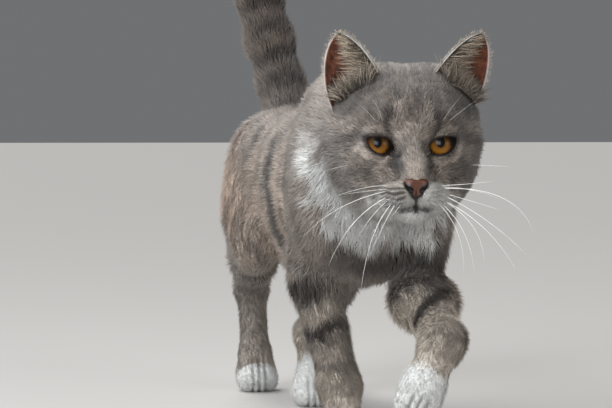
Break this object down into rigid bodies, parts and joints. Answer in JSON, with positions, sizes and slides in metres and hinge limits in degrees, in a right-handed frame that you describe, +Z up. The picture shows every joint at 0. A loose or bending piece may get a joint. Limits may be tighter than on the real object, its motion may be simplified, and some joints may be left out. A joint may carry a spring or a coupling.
{
  "type": "cat",
  "caption": "Short-haired grey tabby and white domestic cat, life-size, walking forward with one fore paw lifted, the head level and the tail held up.",
  "frame": {"origin": "on the floor, under the middle of the cat's bounding box", "axes": "-Y the way the cat walks, +Y towards its tail, +X its left side, +Z up"},
  "size_m": [0.1398, 0.532, 0.484],
  "materials": {
    "grey_coat": "short plush fur, grey-brown with darker mackerel stripes",
    "white_coat": "short plush fur, white",
    "nose_leather": "fine-pebbled brick-red leather, dark at its rim",
    "eye": "clear wet gloss over an amber iris and a dark pupil"
  },
  "bodies": {
    "root": {"ear_left": "grey_coat", "ear_right": "grey_coat", "whisker_left_upper": "white_coat", "whisker_left_lower": "white_coat", "whisker_right_upper": "white_coat", "whisker_right_lower": "white_coat", "eye_left": "eye", "eye_right": "eye", "nose": "nose_leather", "jaw": "white_coat", "head": "grey_coat", "tail_tip": "grey_coat", "tail_middle": "grey_coat", "tail_base": "grey_coat", "forepaw_right": "white_coat", "forearm_right": "grey_coat", "upper_arm_right": "grey_coat", "forepaw_left": "white_coat", "forearm_left": "grey_coat", "upper_arm_left": "grey_coat", "hindpaw_right": "white_coat", "hock_right": "grey_coat", "shank_right": "grey_coat", "thigh_right": "grey_coat", "hindpaw_left": "white_coat", "hock_left": "grey_coat", "shank_left": "grey_coat", "thigh_left": "grey_coat", "neck": "grey_coat", "trunk": "grey_coat"}
  },
  "joints": []
}
